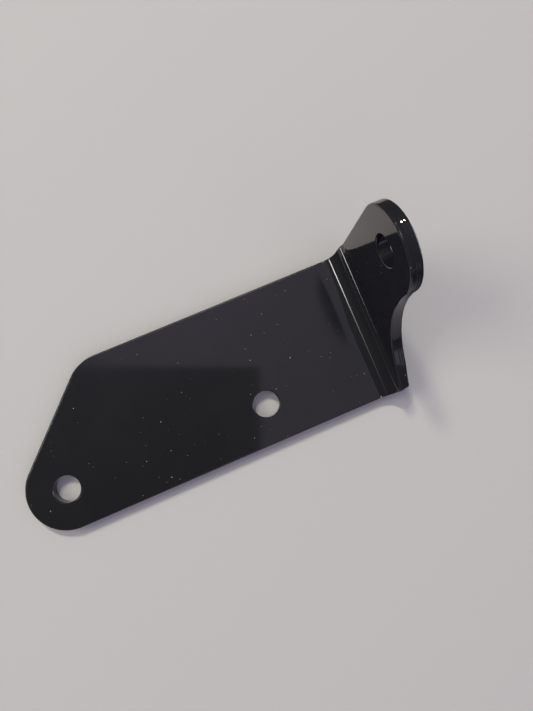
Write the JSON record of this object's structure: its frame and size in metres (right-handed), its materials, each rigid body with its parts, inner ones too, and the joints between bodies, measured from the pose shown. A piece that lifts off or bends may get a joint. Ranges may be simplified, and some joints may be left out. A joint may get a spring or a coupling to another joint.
{
  "type": "power steering pump bracket",
  "caption": "Gloss black steel plate bracket with bolt holes along one edge, a slanted corner and an upturned flange that ends in a round ear.",
  "frame": {"origin": "middle of the footprint, on the underside of the flat plate", "axes": "+X along the plate from its round end towards the flange, +Y across the plate from the bolt hole edge to the plain edge, +Z square to the plate, the way the flange stands up"},
  "size_m": [0.161, 0.066, 0.0663],
  "materials": {
    "black_coat": "gloss"
  },
  "bodies": {
    "root": {"bracket_plate": "black_coat"}
  },
  "joints": []
}
